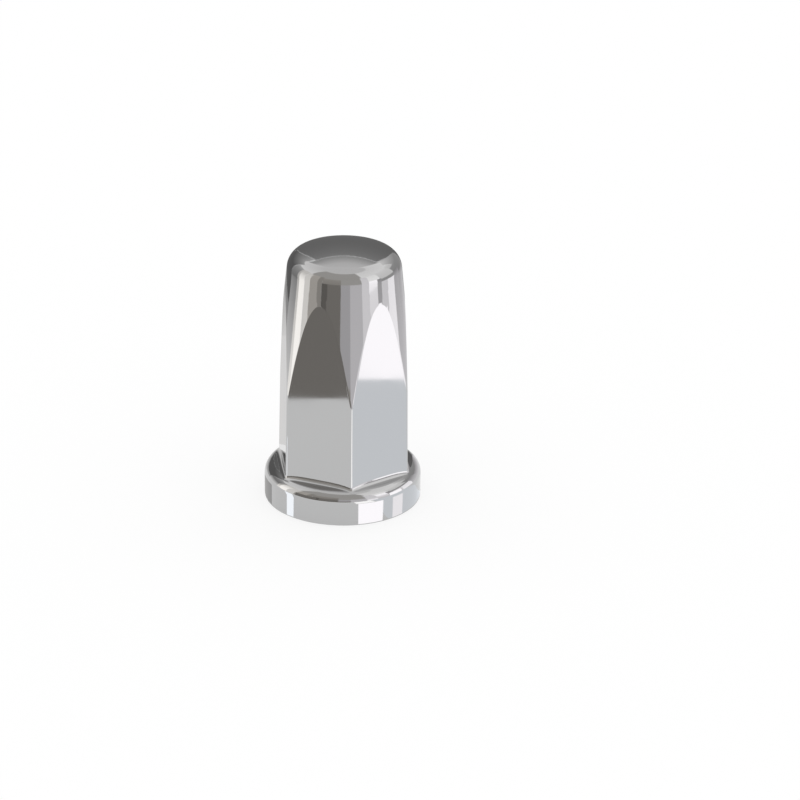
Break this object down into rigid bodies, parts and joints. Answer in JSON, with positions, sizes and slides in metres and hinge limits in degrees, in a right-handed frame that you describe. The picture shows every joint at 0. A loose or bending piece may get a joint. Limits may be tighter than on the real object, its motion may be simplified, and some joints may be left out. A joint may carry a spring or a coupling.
{
  "type": "wheel nut cover cap",
  "caption": "Push-on chromed cover for a wheel nut: a tall hexagonal hollow cap that turns into a round domed crown, on a round flange.",
  "frame": {"origin": "centre of the open rim, on the plane that the rim stands on", "axes": "+Z along the cap's axis from the open rim to the closed crown, two opposite flats face +Y and -Y, two opposite edges point along +X and -X, and the lever notch in the rim is on +Y"},
  "size_m": [0.051, 0.051, 0.0866],
  "materials": {
    "chrome_plating": "bright chrome plating over moulded plastic, polished outside and slightly duller inside"
  },
  "bodies": {
    "root": {"cap_shell": "chrome_plating"}
  },
  "joints": []
}
